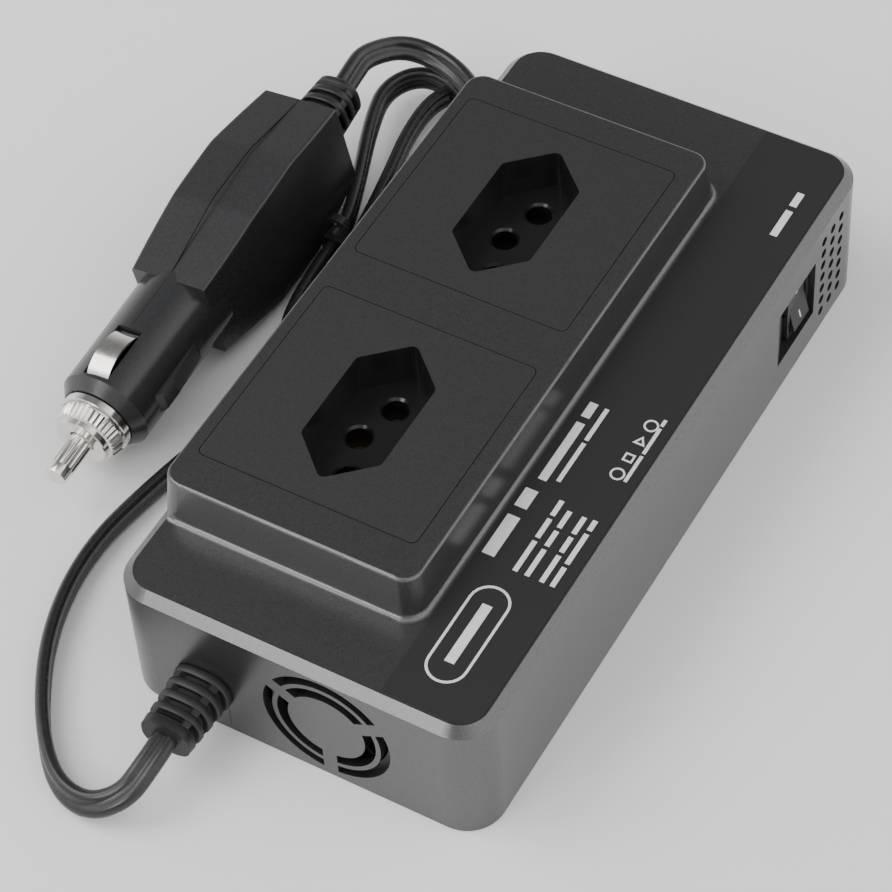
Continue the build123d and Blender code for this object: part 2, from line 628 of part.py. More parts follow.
with BuildPart() as usb_pin_headers:
    with BuildSketch(Plane.XY.offset(BOARD_TOP)):
        with Locations((-20, 67.5), (20, 67.5)):
            with GridLocations(2.5, 1, 4, 1):
                Rectangle(0.8, 0.8)
    extrude(amount=USB_Z - 1.6 - BOARD_TOP)
    with BuildSketch(Plane.XY.offset(BOARD_TOP)):
        with Locations((-20, 67.5), (20, 67.5)):
            Rectangle(10.5, 2.5)
    extrude(amount=2.4)
save(usb_pin_headers, "usb_pin_headers")

with BuildPart() as usb_shells:
    with BuildSketch(Plane.XZ.offset(-(USB_FACE_Y - USB_DEPTH))):
        with Locations((0, USB_Z + 2.85)):
            with GridLocations(USB_PITCH, 1, USB_COUNT, 1):
                Rectangle(13.2, 5.7)
    extrude(amount=-USB_DEPTH)
    with BuildSketch(Plane.XZ.offset(-(USB_FACE_Y - USB_DEPTH + 1))):
        with Locations((0, USB_Z + 2.85)):
            with GridLocations(USB_PITCH, 1, USB_COUNT, 1):
                Rectangle(12.4, 4.9)
    extrude(amount=-USB_DEPTH, mode=Mode.SUBTRACT)
save(usb_shells, "usb_shells")

with BuildPart() as usb_tongues:
    with BuildSketch(Plane.XZ.offset(-(USB_FACE_Y - USB_DEPTH + 1))):
        with Locations((0, USB_Z + 3.9)):
            with GridLocations(USB_PITCH, 1, USB_COUNT, 1):
                Rectangle(11.2, 1.8)
    extrude(amount=-(USB_DEPTH - 2.5))
save(usb_tongues, "usb_tongues")

# ---------------------------------------------------------------- cord gland and inner leads


def oval(width, height):
    """Rounded-rectangle section of the strain relief, centred on the gland."""
    with Locations((GLAND_X, GLAND_Z)):
        RectangleRounded(width, height, min(width, height) * 0.42)


RIB_COUNT, RIB_PITCH, RIB_T = 5, 3.1, 1.6
FRONT_Y = -CASE_L / 2
with BuildPart() as cord_gland:
    with BuildSketch(Plane.XZ.offset(-FRONT_Y - WALL)):
        with Locations((GLAND_X, GLAND_Z)):
            Circle(GLAND_SLOT_W / 2 - 0.1)
        with Locations((GLAND_X, GLAND_Z - 2.2)):
            Rectangle(GLAND_SLOT_W - 0.2, 4.4)
        with Locations((GLAND_X, GLAND_Z - 7)):
            Rectangle(GLAND_SLOT_W, 5.2, mode=Mode.SUBTRACT)
    extrude(amount=WALL)
    with BuildSketch(Plane.XZ.offset(-FRONT_Y - WALL - 2)):
        oval(13, 12)
    extrude(amount=1.9)
    with BuildSketch(Plane.XZ.offset(-FRONT_Y - WALL - 2)):
        oval(9, 8)
    extrude(amount=3)
    with BuildSketch(Plane.XZ.offset(-FRONT_Y)):
        oval(9.8, 7.6)
    with BuildSketch(Plane.XZ.offset(-GLAND_TIP_Y)):
        oval(8.4, 6.4)
    loft()
    for rib in range(RIB_COUNT):
        shrink = rib * 0.32
        with BuildSketch(Plane.XZ.offset(-FRONT_Y + 0.05 + rib * RIB_PITCH)):
            oval(12.6 - shrink, 9.6 - shrink)
        extrude(amount=RIB_T)
save(cord_gland, "cord_gland")

with BuildPart() as input_leads:
    for side in (-1, 1):
        lead_x = GLAND_X + side * 2.2
        with BuildLine():
            FilletPolyline((lead_x, -79.8, GLAND_Z), (lead_x, -72, GLAND_Z),
                           (lead_x, -64, 8.0), (lead_x, -64 + 6, 8.0), radius=3)
        with BuildSketch(Plane(origin=(lead_x, -79.8, GLAND_Z), z_dir=(0, 1, 0))):
            Circle(1.3)
        sweep()
save(input_leads, "input_leads")

with BuildPart() as output_leads:
    for outlet_y in OUTLET_Y:
        with BuildSketch(Plane.XY.offset(BOARD_TOP)):
            with Locations((OUTLET_X, outlet_y + PIN_PITCH / 2), (OUTLET_X, outlet_y - PIN_PITCH / 2),
                           (OUTLET_X - EARTH_OFFSET, outlet_y)):
                Circle(0.9)
        extrude(amount=TAB_FOOT - BOARD_TOP)
save(output_leads, "output_leads")

# ---------------------------------------------------------------- lighter-socket plug
pitch, roll = math.radians(PLUG_PITCH), math.radians(PLUG_ROLL)
plug_axis = Vector(0, -math.cos(pitch), math.sin(pitch))
plug_up = Vector(0, math.sin(pitch), math.cos(pitch))
plug_x = Vector(1, 0, 0) * math.cos(roll) + plug_up * math.sin(roll)
plug = Plane(origin=PLUG_ORIGIN, x_dir=plug_x, z_dir=plug_axis)


def plug_point(x, y, t):
    """A point given across, above and along the plug's axis."""
    return plug.from_local_coords(Vector(x, y, t))


side_plane = Plane(origin=PLUG_ORIGIN, x_dir=plug_axis, z_dir=plug_x)
top_plane = Plane(origin=PLUG_ORIGIN, x_dir=plug_axis, z_dir=plug.y_dir)


def runs_lengthwise(edge):
    """True for the housing's long corner edges."""
    return abs((edge % 0.5).dot(plug_axis)) > 0.8


def side_outline():
    """Long outline of the housing from the side: three flats above and three below."""
    front, rear = HOUSING_BREAKS
    under_front, under_rear = HOUSING_MID_UNDER
    with BuildLine() as outline:
        FilletPolyline((0, HOUSING_END_H), (-front, HOUSING_MID_TOP), (-rear, HOUSING_MID_TOP),
                       (-HOUSING_L, HOUSING_REAR_H), radius=HOUSING_BREAK_R)
        Line((-HOUSING_L, HOUSING_REAR_H), (-HOUSING_L, -HOUSING_REAR_H))
        FilletPolyline((-HOUSING_L, -HOUSING_REAR_H), (-rear, -under_rear),
                       (-front, -under_front), (0, -HOUSING_END_H), radius=HOUSING_BREAK_R)
        Line((0, -HOUSING_END_H), (0, HOUSING_END_H))
    make_face(outline.edges())


def top_outline():
    """Long outline of the housing from above: two straight ends and two bowed sides."""
    half, middle = HOUSING_W / 2, -HOUSING_L / 2
    with BuildLine() as outline:
        ThreePointArc((0, half), (middle, half + HOUSING_BULGE_W), (-HOUSING_L, half))
        Line((-HOUSING_L, half), (-HOUSING_L, -half))
        ThreePointArc((-HOUSING_L, -half), (middle, -half - HOUSING_BULGE_W), (0, -half))
        Line((0, -half), (0, half))
    make_face(outline.edges())


TAB_T0, TAB_T1, TAB_W = 8.0, 24.0, 5.0
CONTACT_T0, CONTACT_T1, CONTACT_W = 15.0, 28.0, 5.4
SLOT_GAP = 0.35
for side, sign in (("left", -1), ("right", 1)):
    with BuildPart() as shell:
        with BuildSketch(side_plane):
            side_outline()
        extrude(amount=HOUSING_W, both=True)
        with BuildSketch(top_plane):
            top_outline()
        extrude(amount=HOUSING_MAX_H, both=True, mode=Mode.INTERSECT)
        fillet(shell.edges().filter_by(runs_lengthwise), HOUSING_EDGE_R)
        with BuildSketch(plug.offset(-5)):
            Circle(BARREL_R)
        extrude(amount=BARREL_L + 5)
        chamfer(shell.faces().filter_by(GeomType.PLANE).sort_by(Axis.Y)[0].edges(), 2.6, 1.9)
        # room for the fuse, and the cavity of the housing
        with BuildSketch(plug.offset(-8)):
            Circle(6.4)
        extrude(amount=BARREL_L + 8.5, mode=Mode.SUBTRACT)
        with BuildSketch(plug.offset(-HOUSING_L + PLUG_WALL)):
            Rectangle(HOUSING_W - 2 * PLUG_WALL, 2 * (HOUSING_END_H - PLUG_WALL))
        extrude(amount=HOUSING_L - PLUG_WALL - 12, mode=Mode.SUBTRACT)
        with BuildSketch(plug.offset(-HOUSING_L - 1)):
            Circle(3.4)
        extrude(amount=PLUG_WALL + 2, mode=Mode.SUBTRACT)
        # slots of the spring contacts, above and below, and of the side tabs
        with BuildSketch(top_plane):
            with Locations(((CONTACT_T0 + CONTACT_T1) / 2, 0)):
                Rectangle(CONTACT_T1 - CONTACT_T0 + 0.8, CONTACT_W + 2 * SLOT_GAP)
        extrude(amount=BARREL_R + 1, both=True, mode=Mode.SUBTRACT)
        with BuildSketch(side_plane):
            with Locations(((TAB_T0 + TAB_T1) / 2, 0)):
                Rectangle(TAB_T1 - TAB_T0, TAB_W)
        extrude(amount=BARREL_R + 1, both=True, mode=Mode.SUBTRACT)
        split(bisect_by=side_plane, keep=Keep.TOP if sign > 0 else Keep.BOTTOM)
    save(shell, f"plug_shell_{side}")

with BuildPart() as plug_nose_ring:
    with BuildSketch(plug.offset(BARREL_L - 4.5)):
        Circle(6.3)
    extrude(amount=4.5)
    with BuildSketch(plug.offset(BARREL_L)):
        Circle(8.1)
    extrude(amount=2.2)
    with BuildSketch(plug.offset(BARREL_L + 2.2)):
        Circle(7.9)
    extrude(amount=3.4, taper=6)
    with BuildSketch(plug.offset(BARREL_L + 5.6)):
        Circle(6.4)
    extrude(amount=1.4)
    with BuildSketch(plug.offset(BARREL_L - 4.6)):
        Circle(5.2)
    extrude(amount=10.0, mode=Mode.SUBTRACT)
    with BuildSketch(plug.offset(BARREL_L)):
        Circle(TIP_R + RUNNING_GAP)
    extrude(amount=8, mode=Mode.SUBTRACT)
save(plug_nose_ring, "plug_nose_ring")

FLANGE_T = BARREL_L + 3.8
with BuildPart() as plug_tip:
    with BuildSketch(plug.offset(FLANGE_T)):
        Circle(TIP_R)
    extrude(amount=TIP_END - FLANGE_T)
    fillet(plug_tip.faces().sort_by(Axis.Y)[0].edges(), 0.9)
    with BuildSketch(plug.offset(FLANGE_T)):
        Circle(4.8)
    extrude(amount=1.5)
    with BuildSketch(plug.offset(FLANGE_T - 3)):
        Circle(3.4)
    extrude(amount=3)
save(plug_tip, "plug_tip")

FUSE_FRONT, FUSE_L = FLANGE_T - 3, 30.0
with BuildPart() as plug_fuse:
    with BuildSketch(plug.offset(FUSE_FRONT - FUSE_L)):
        Circle(2.9)
    extrude(amount=FUSE_L)
    with BuildSketch(plug.offset(FUSE_FRONT - FUSE_L)):
        Circle(3.1)
    extrude(amount=5.5)
    with BuildSketch(plug.offset(FUSE_FRONT - 5.5)):
        Circle(3.1)
    extrude(amount=5.5)
save(plug_fuse, "plug_fuse")

# the spring behind the fuse, as a stack of closed turns on a thin liner
SPRING_T0, SPRING_T1 = -8.0, FUSE_FRONT - FUSE_L
with BuildPart() as plug_tip_spring:
    with BuildSketch(plug.offset(SPRING_T0)):
        Circle(SPRING_R + SPRING_WIRE_R)
        Circle(SPRING_R - SPRING_WIRE_R, mode=Mode.SUBTRACT)
    extrude(amount=SPRING_T1 - SPRING_T0)
save(plug_tip_spring, "plug_tip_spring")

for name, sign in (("upper", 1), ("lower", -1)):
    with BuildPart() as contact:
        with BuildSketch(side_plane):
            with BuildLine():
                mid = (CONTACT_T0 + CONTACT_T1) / 2
                low, high = sign * (BARREL_R - 1.3), sign * (BARREL_R + 1.0)
                ThreePointArc((CONTACT_T0, low), (mid, high), (CONTACT_T1, low))
                Line((CONTACT_T1, low), (CONTACT_T1, low - sign * 0.5))
                ThreePointArc((CONTACT_T1, low - sign * 0.5), (mid, high - sign * 0.5),
                              (CONTACT_T0, low - sign * 0.5))
                Line((CONTACT_T0, low - sign * 0.5), (CONTACT_T0, low))
            make_face()
        extrude(amount=CONTACT_W / 2, both=True)
    save(contact, f"plug_contact_{name}")

for name, sign in (("left", -1), ("right", 1)):
    with BuildPart() as tab:
        with BuildSketch(top_plane):
            with BuildLine():
                inner, outer = sign * (BARREL_R - 2.4), sign * (BARREL_R - 0.2)
                crest = sign * (BARREL_R + 0.7)
                Polyline((TAB_T0, inner), (TAB_T0, outer), (TAB_T1 - 6, crest),
                         (TAB_T1 - 1.5, crest), (TAB_T1, outer), (TAB_T1, inner), close=True)
            make_face()
        extrude(amount=TAB_W / 2, both=True)
    save(tab, f"plug_side_tab_{name}")

PLUG_RELIEF_END = -HOUSING_L - 13.0
with BuildPart() as plug_strain_relief:
    with BuildSketch(plug.offset(-HOUSING_L)):
        Circle(4.8)
    with BuildSketch(plug.offset(PLUG_RELIEF_END)):
        Circle(4.2)
    loft()
    for rib in range(4):
        with BuildSketch(plug.offset(-HOUSING_L - 0.05 - rib * 3.4)):
            Circle(5.9 - 0.2 * rib)
        extrude(amount=-2.0)
    with BuildSketch(plug.offset(-HOUSING_L)):
        Circle(3.3)
    extrude(amount=PLUG_WALL)
    with BuildSketch(plug.offset(-HOUSING_L + PLUG_WALL)):
        Circle(5.4)
    extrude(amount=2)
save(plug_strain_relief, "plug_strain_relief")

with BuildPart() as plug_inner_lead:
    with BuildSketch(plug.offset(-HOUSING_L + PLUG_WALL + 2)):
        with GridLocations(3.0, 1, 2, 1):
            Circle(1.2)
    extrude(amount=HOUSING_L - PLUG_WALL - 2 - 12.3)
save(plug_inner_lead, "plug_inner_lead")

# ---------------------------------------------------------------- cord


def tube(path_points, diameter, start_dir):
    """Straight runs joined by the largest tangent arcs that their runs allow."""
    radii = []
    for a, b, c in zip(path_points, path_points[1:], path_points[2:]):
        before, after = Vector(b) - Vector(a), Vector(c) - Vector(b)
        turn = math.radians(before.get_angle(after))
        radii.append(0.45 * min(before.length, after.length) / math.tan(turn / 2))
    with BuildLine() as path:
        FilletPolyline(*path_points, radius=radii)
    with BuildSketch(Plane(origin=path_points[0], z_dir=start_dir)) as section:
        Circle(diameter / 2)
    sweep(section.sketch.faces(), path=path.wires()[0])
    print("radii", [round(r, 1) for r in radii], "length", round(path.wires()[0].length, 1))


LEAD_ROUTE = [(GLAND_X, GLAND_TIP_Y, GLAND_Z), (-21, -105, 11.3), (-22.8, -111.5, 7.5),
              (-30, -115.3, 4), (-40, -112, CORD_Z), (-51, -99.5, CORD_Z), (-60.5, -82, CORD_Z),
              (-64.5, -62, CORD_Z), (-61.5, -42, CORD_Z), (-57, -23, CORD_Z), (-54, -6, CORD_Z),
              (-52.5, 6, CORD_Z + 1.4)]
with BuildPart() as cord_lead:
    tube(LEAD_ROUTE, CORD_D, (0, -1, 0))
save(cord_lead, "cord_lead")

relief_tip = plug_point(0, 0, PLUG_RELIEF_END)
TAIL_ROUTE = [tuple(relief_tip), tuple(plug_point(0, 0, PLUG_RELIEF_END - 7)), (-74, 82.5, 15.5),
              (-66, 89, 12), (-57, 88.5, 8.5), (-51, 82, 6), (-48.5, 73, 4.6)]
with BuildPart() as cord_tail:
    tube(TAIL_ROUTE, CORD_D, tuple(plug_axis * -1))
save(cord_tail, "cord_tail")

# outer shape of the tied hank of turns, pinched where the tie holds it
HANK_Z0, HANK_H = 1.2, 6.6
HANK_OUTLINE = [(-52.5, -3), (-60.5, 4), (-62.0, 20), (-62.3, 33), (-64.6, 46), (-74.5, 68),
                (-76, 82), (-66, 90.5), (-52, 86), (-46.5, 72), (-46, 52), (-45.5, 33),
                (-43.8, 18), (-44.5, 4)]
with BuildPart() as cord_hank:
    with BuildSketch(Plane.XY.offset(HANK_Z0)):
        with BuildLine():
            Spline(*HANK_OUTLINE, periodic=True)
        make_face()
        with BuildLine():
            Spline((-58, 58), (-64.5, 68), (-65, 78), (-60, 80.5), (-55, 75), (-54.5, 64),
                   periodic=True)
        make_face(mode=Mode.SUBTRACT)
    extrude(amount=HANK_H)
save(cord_hank, "cord_hank")

TIE_Y = 33.0
with BuildPart() as cord_tie:
    with BuildSketch(Plane.XZ.offset(-(TIE_Y + 2))):
        with Locations((-54.0, 4.5)):
            RectangleRounded(19.2, 9.0, 1.2)
            Rectangle(17.6, 7.6, mode=Mode.SUBTRACT)
    extrude(amount=4)
    with BuildSketch(Plane.XZ.offset(-TIE_Y)):
        with Locations((-60.2, 11.4)):
            Circle(3)
            Circle(2, mode=Mode.SUBTRACT)
    extrude(amount=1, both=True)
save(cord_tie, "cord_tie")
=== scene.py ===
import math
import random

import bpy
from mathutils import Euler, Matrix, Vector


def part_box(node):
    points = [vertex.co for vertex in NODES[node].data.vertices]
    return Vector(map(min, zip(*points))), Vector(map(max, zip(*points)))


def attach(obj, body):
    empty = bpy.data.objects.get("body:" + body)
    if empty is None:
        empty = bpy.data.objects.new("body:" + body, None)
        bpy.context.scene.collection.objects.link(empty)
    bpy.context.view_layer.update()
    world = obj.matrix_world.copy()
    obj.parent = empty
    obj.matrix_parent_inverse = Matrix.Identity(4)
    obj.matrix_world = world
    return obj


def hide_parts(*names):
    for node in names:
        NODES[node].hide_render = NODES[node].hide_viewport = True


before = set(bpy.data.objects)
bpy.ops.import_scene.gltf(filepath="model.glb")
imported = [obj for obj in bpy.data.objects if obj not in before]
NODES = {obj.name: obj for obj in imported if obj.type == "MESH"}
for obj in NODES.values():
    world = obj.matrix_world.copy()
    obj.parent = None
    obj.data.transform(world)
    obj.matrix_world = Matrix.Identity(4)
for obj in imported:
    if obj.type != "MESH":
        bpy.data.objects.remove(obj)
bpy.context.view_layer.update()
MM = 0.001
scene = bpy.context.scene
random.seed(7)

# ---------------------------------------------------------------- camera, lights, floor
CAMERA_AT = (0.22775, -0.37652, 0.54719)
CAMERA_TURN = (39.0931, 2.6643, 29.5654)
camera_data = bpy.data.cameras.new("camera")
camera_data.lens = 135.44
camera_data.sensor_width = 36.0
camera_data.clip_start = 0.05
camera_data.clip_end = 20
camera = bpy.data.objects.new("camera", camera_data)
camera.location = CAMERA_AT
camera.rotation_euler = Euler([math.radians(a) for a in CAMERA_TURN], "XYZ")
scene.collection.objects.link(camera)
scene.camera = camera


def area_light(name, at, target, size, size_y, power):
    data = bpy.data.lights.new(name, "AREA")
    data.shape = "RECTANGLE"
    data.size = size
    data.size_y = size_y
    data.energy = power
    lamp = bpy.data.objects.new(name, data)
    lamp.location = at
    lamp.rotation_euler = (Vector(target) - Vector(at)).to_track_quat("-Z", "Y").to_euler()
    scene.collection.objects.link(lamp)


area_light("key", (-0.85, -0.35, 1.25), (0, 0, 0), 0.9, 0.9, 9.0)
area_light("front", (-0.38, -1.02, 0.70), (0, 0, 0.03), 0.5, 0.3, 3.6)

# Studio surroundings: pale all round, dimmer in front, with one dim patch that the flat
# tops mirror. Each ramp runs between two cosines of the direction looked in.
AROUND, PATCH, FRONT_SHARE = 1.65, 0.22, 0.3
PATCH_TOWARDS = (-0.34, 0.53, 0.775)
PATCH_EDGE = (0.5, 0.93)
FRONT_EDGE = (-0.95, -0.35)


def ramp(nodes, span, values):
    """A map-range node from one pair of numbers to another."""
    node = nodes.new("ShaderNodeMapRange")
    node.inputs["From Min"].default_value, node.inputs["From Max"].default_value = span
    node.inputs["To Min"].default_value, node.inputs["To Max"].default_value = values
    return node


def studio_sky():
    world = bpy.data.worlds.new("studio")
    world.use_nodes = True
    nodes, links = world.node_tree.nodes, world.node_tree.links
    ray = nodes.new("ShaderNodeTexCoord")
    facing = nodes.new("ShaderNodeVectorMath")
    facing.operation = "DOT_PRODUCT"
    facing.inputs[1].default_value = PATCH_TOWARDS
    axes = nodes.new("ShaderNodeSeparateXYZ")
    level = ramp(nodes, PATCH_EDGE, (AROUND, PATCH))
    front = ramp(nodes, FRONT_EDGE, (FRONT_SHARE, 1.0))
    both = nodes.new("ShaderNodeMath")
    both.operation = "MULTIPLY"
    links.new(ray.outputs["Generated"], facing.inputs[0])
    links.new(ray.outputs["Generated"], axes.inputs["Vector"])
    links.new(facing.outputs["Value"], level.inputs["Value"])
    links.new(axes.outputs["Y"], front.inputs["Value"])
    links.new(level.outputs["Result"], both.inputs[0])
    links.new(front.outputs["Result"], both.inputs[1])
    links.new(both.outputs["Value"], nodes["Background"].inputs["Strength"])
    nodes["Background"].inputs["Color"].default_value = (1, 1, 1, 1)
    return world


scene.world = studio_sky()


# ---------------------------------------------------------------- materials
GRAIN_BAND = (0.35, 0.68)         # stretch of the noise that the colour runs across
GLOSS_SPREAD = 0.04
RELIEF_HEIGHT = 0.0002


def surface(name, color, metallic=0.0, roughness=0.5, grain=0.06, grain_scale=900.0,
            bump=0.02, bump_scale=2500.0, specular=0.5):
    """A Principled material with a little procedural grain in its colour, gloss and relief."""
    mat = bpy.data.materials.new(name)
    mat.use_nodes = True
    nodes, links = mat.node_tree.nodes, mat.node_tree.links
    shader = nodes["Principled BSDF"]
    shader.inputs["Metallic"].default_value = metallic
    shader.inputs["Specular IOR Level"].default_value = specular
    where = nodes.new("ShaderNodeTexCoord")
    noise = nodes.new("ShaderNodeTexNoise")
    noise.inputs["Scale"].default_value = grain_scale
    noise.inputs["Detail"].default_value = 3
    links.new(where.outputs["Object"], noise.inputs["Vector"])
    shades = nodes.new("ShaderNodeValToRGB")
    for element, place, sign in zip(shades.color_ramp.elements, GRAIN_BAND, (-1, 1)):
        element.position = place
        element.color = [min(1, max(0, c * (1 + sign * grain))) for c in color] + [1]
    links.new(noise.outputs["Fac"], shades.inputs["Fac"])
    links.new(shades.outputs["Color"], shader.inputs["Base Color"])
    gloss = ramp(nodes, (0, 1), (roughness - GLOSS_SPREAD, roughness + GLOSS_SPREAD))
    links.new(noise.outputs["Fac"], gloss.inputs["Value"])
    links.new(gloss.outputs["Result"], shader.inputs["Roughness"])
    if bump:
        fine = nodes.new("ShaderNodeTexNoise")
        fine.inputs["Scale"].default_value = bump_scale
        fine.inputs["Detail"].default_value = 2
        links.new(where.outputs["Object"], fine.inputs["Vector"])
        relief = nodes.new("ShaderNodeBump")
        relief.inputs["Strength"].default_value = bump
        relief.inputs["Distance"].default_value = RELIEF_HEIGHT
        links.new(fine.outputs["Fac"], relief.inputs["Height"])
        links.new(relief.outputs["Normal"], shader.inputs["Normal"])
    return mat


GRAPHITE = surface("graphite_paint", (0.132, 0.132, 0.134), 0.9, 0.29, grain=0.16,
                   grain_scale=4200, bump=0.04, bump_scale=4200)
INSERT = surface("outlet_face", (0.122, 0.122, 0.126), 0.9, 0.33, grain=0.14, grain_scale=4200,
                 bump=0.04, bump_scale=4200)
# near-black for the outlet recesses: painted shade in the recess, with a glossy finish
RECESS_SHADE_BLACK = surface("gloss_black_recess_shade", (0.010, 0.010, 0.011), 0.0, 0.24, grain=0.05)
LABEL = surface("label_film", (0.09, 0.09, 0.093), 0.85, 0.32, grain=0.1, grain_scale=4000,
                bump=0.02, bump_scale=4000)
MARKS = surface("pale_print", (0.72, 0.73, 0.74), 0.0, 0.5, grain=0.05, bump=0)
PLUG = surface("plug_plastic", (0.028, 0.0285, 0.03), 0.0, 0.25, grain=0.1, grain_scale=1500,
               bump=0.03, bump_scale=2600, specular=0.55)
BLACK = surface("black_plastic", (0.012, 0.012, 0.013), 0.0, 0.42, grain=0.1)
CORD = surface("cord_pvc", (0.018, 0.0185, 0.019), 0.0, 0.27, grain=0.12, grain_scale=500,
               bump=0.04, bump_scale=1200)
RELIEF = surface("relief_pvc", (0.011, 0.0115, 0.012), 0.0, 0.46, grain=0.12, grain_scale=700,
                 bump=0.05, bump_scale=1600)
PADS = surface("pad_rubber", (0.02, 0.02, 0.02), 0.0, 0.8, grain=0.15, bump=0.1)
NICKEL = surface("nickel", (0.78, 0.76, 0.72), 1.0, 0.16, grain=0.05, bump=0.02)
STEEL = surface("zinc_steel", (0.50, 0.51, 0.53), 1.0, 0.35, grain=0.08, bump=0.04)
# brass, darkened well below the switch terminals' brass as painted shade for the contacts deep in
# the outlet holes
CONTACT = surface("brass_with_hole_shade", (0.30, 0.24, 0.14), 1.0, 0.4, grain=0.1, bump=0.02)
# near-black painted shadow, for the seam strip along the plug and for the slots of the ribbed
# sleeves
SEAM_SHADOW = surface("seam_shadow", (0.004, 0.004, 0.004), 0.0, 0.6, grain=0.02, bump=0)
BRASS = surface("brass", (0.76, 0.58, 0.30), 1.0, 0.28, grain=0.08, bump=0.02)
COPPER = surface("enamelled_copper", (0.62, 0.27, 0.11), 0.8, 0.35, grain=0.15, grain_scale=1800)
FERRITE = surface("ferrite", (0.05, 0.05, 0.055), 0.2, 0.6, grain=0.2)
BOARD = surface("solder_mask", (0.015, 0.10, 0.045), 0.0, 0.35, grain=0.15, grain_scale=350)
ALU = surface("aluminium", (0.70, 0.71, 0.73), 1.0, 0.38, grain=0.06, bump=0.05)
SLEEVE = surface("capacitor_sleeve", (0.02, 0.05, 0.16), 0.0, 0.3, grain=0.1)
FUSE = surface("fuse_amber", (0.55, 0.24, 0.04), 0.0, 0.2, grain=0.08)
WIRE_RED = surface("lead_red", (0.42, 0.03, 0.025), 0.0, 0.4, grain=0.1)
FLOOR = surface("floor_white", (0.95, 0.95, 0.95), 0.0, 0.75, grain=0.01, grain_scale=6, bump=0,
                specular=0.2)

LOOKS = {
    GRAPHITE: ["top_shell", "bottom_cover"],
    LABEL: ["label_panel"],
    PADS: ["rubber_pads"],
    STEEL: ["casing_screws", "fan_screws", "board_screws", "plug_tip_spring"],
    CONTACT: ["outlet_contacts_front", "outlet_contacts_rear"],
    BRASS: ["switch_terminals"],
    BLACK: ["outlet_backing_front", "outlet_backing_rear", "fan_frame", "fan_rotor",
            "switch_body", "power_rocker", "input_transistors", "output_transistors",
            "controller_chips", "fuse_holder", "buzzer", "usb_pin_headers", "usb_tongues"],
    COPPER: ["fan_stator", "transformer_winding", "choke_winding"],
    FERRITE: ["transformer_core", "choke_core"],
    BOARD: ["main_board", "usb_board"],
    ALU: ["heat_sink_input", "heat_sink_output"],
    SLEEVE: ["input_capacitors", "high_voltage_capacitor"],
    FUSE: ["board_fuses", "plug_fuse"],
    NICKEL: ["usb_shells", "plug_contact_upper", "plug_contact_lower", "plug_nose_ring",
             "plug_tip"],
    WIRE_RED: ["input_leads", "output_leads", "plug_inner_lead"],
    PLUG: ["plug_shell_left", "plug_shell_right", "plug_side_tab_left", "plug_side_tab_right"],
    RELIEF: ["cord_gland", "plug_strain_relief"],
    CORD: ["cord_lead", "cord_tail", "cord_hank", "cord_tie"],
}


def paint(obj, *mats):
    obj.data.materials.clear()
    for mat in mats:
        obj.data.materials.append(mat)


for look, names in LOOKS.items():
    for node in names:
        paint(NODES[node], look)

# the flat face of an outlet is satin; its recess is glossy and painted near-black as painted shade
# for the recess
OUTLET_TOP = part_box("outlet_insert_front")[1][2]
FACE_SKIN = 0.0004
for node in ("outlet_insert_front", "outlet_insert_rear"):
    paint(NODES[node], INSERT, RECESS_SHADE_BLACK)
    for face in NODES[node].data.polygons:
        face.material_index = 0 if face.center.z > OUTLET_TOP - FACE_SKIN else 1


# ---------------------------------------------------------------- floor
FLOOR_HALF, FLOOR_Z = 3.0, -0.0002
floor_mesh = bpy.data.meshes.new("floor")
floor_mesh.from_pydata([(x * FLOOR_HALF, y * FLOOR_HALF, FLOOR_Z)
                        for x, y in ((-1, -1), (1, -1), (1, 1), (-1, 1))], [], [(0, 1, 2, 3)])
floor = bpy.data.objects.new("floor", floor_mesh)
scene.collection.objects.link(floor)
paint(floor, FLOOR)


# ---------------------------------------------------------------- mesh helpers
SHARP_ANGLE = math.radians(35)


def add_mesh(name, verts, faces, mat, body, smooth=True):
    mesh = bpy.data.meshes.new(name)
    mesh.from_pydata([tuple(v) for v in verts], [], faces)
    mesh.validate()
    mesh.update()
    obj = bpy.data.objects.new(name, mesh)
    scene.collection.objects.link(obj)
    paint(obj, mat)
    if smooth:
        for face in mesh.polygons:
            face.use_smooth = True
        mesh.set_sharp_from_angle(angle=SHARP_ANGLE)
    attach(obj, body)
    return obj


def turned(name, place, rings, around, mat, body):
    """A closed body of rings. place(ring, angle) gives each point."""
    verts, faces = [], []
    for ring in range(rings):
        verts += [place(ring, 2 * math.pi * k / around) for k in range(around)]
    for i in range(rings - 1):
        for k in range(around):
            n = (k + 1) % around
            a, b = i * around, (i + 1) * around
            faces.append((a + k, a + n, b + n, b + k))
    faces.append(tuple(reversed(range(around))))
    faces.append(tuple(range((rings - 1) * around, rings * around)))
    return add_mesh(name, verts, faces, mat, body)


